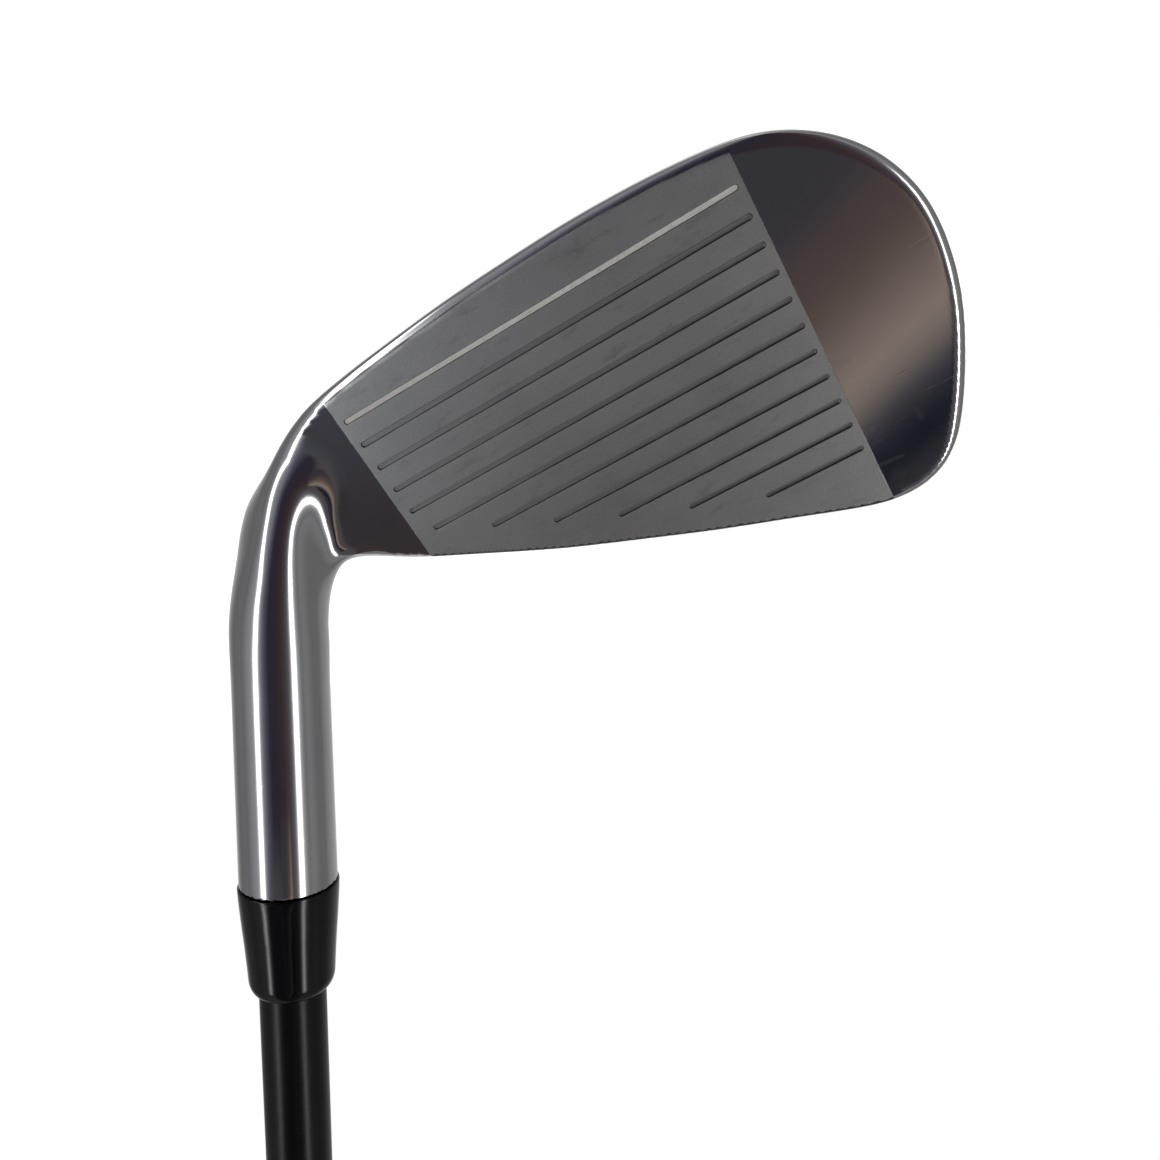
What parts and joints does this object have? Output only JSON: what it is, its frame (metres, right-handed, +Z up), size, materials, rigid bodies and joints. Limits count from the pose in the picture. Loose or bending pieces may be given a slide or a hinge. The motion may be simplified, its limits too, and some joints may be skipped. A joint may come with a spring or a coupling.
{
  "type": "iron golf club",
  "caption": "Right-handed mid iron: steel cavity-back head with scored face, ferrule, graphite shaft and rubber grip, standing at address.",
  "frame": {"origin": "point where the shaft axis meets the ground with the club soled at address, the reference point for club length and lie angle", "axes": "+X from heel to toe along the score lines, +Y towards the target (the way the face looks), +Z up; the shaft leans towards -X at the lie angle"},
  "size_m": [0.5535, 0.0339, 0.8531],
  "materials": {
    "head_steel": "chrome plated, polished at toe, heel and neck, grit-blasted on the scored hitting area",
    "line_paint": "matt off-white paint fill, slightly worn",
    "badge_metal": "brushed and clear anodised",
    "badge_rubber": "moulded elastomer, matt",
    "adhesive_film": "acrylic foam adhesive film",
    "damper_elastomer": "moulded elastomer, satin",
    "tungsten": "turned dense alloy plug",
    "tip_brass": "turned",
    "epoxy": "cured epoxy bond line",
    "ferrule_black": "acetone-buffed gloss black",
    "shaft_black": "satin black paint over wound graphite",
    "grip_tape_paper": "creped masking tape",
    "grip_rubber": "moulded rubber, matt, textured",
    "cap_rubber": "hard moulded rubber, satin"
  },
  "bodies": {
    "root": {"iron_head": "head_steel", "scoreline_paint": "line_paint", "cavity_badge": "badge_metal", "badge_backing": "badge_rubber", "badge_tape": "adhesive_film", "cavity_damper": "damper_elastomer", "toe_weight": "tungsten", "tip_weight": "tip_brass", "hosel_epoxy": "epoxy", "ferrule": "ferrule_black", "shaft": "shaft_black", "grip_tape": "grip_tape_paper", "grip_sleeve": "grip_rubber", "grip_cap": "cap_rubber"}
  },
  "joints": []
}
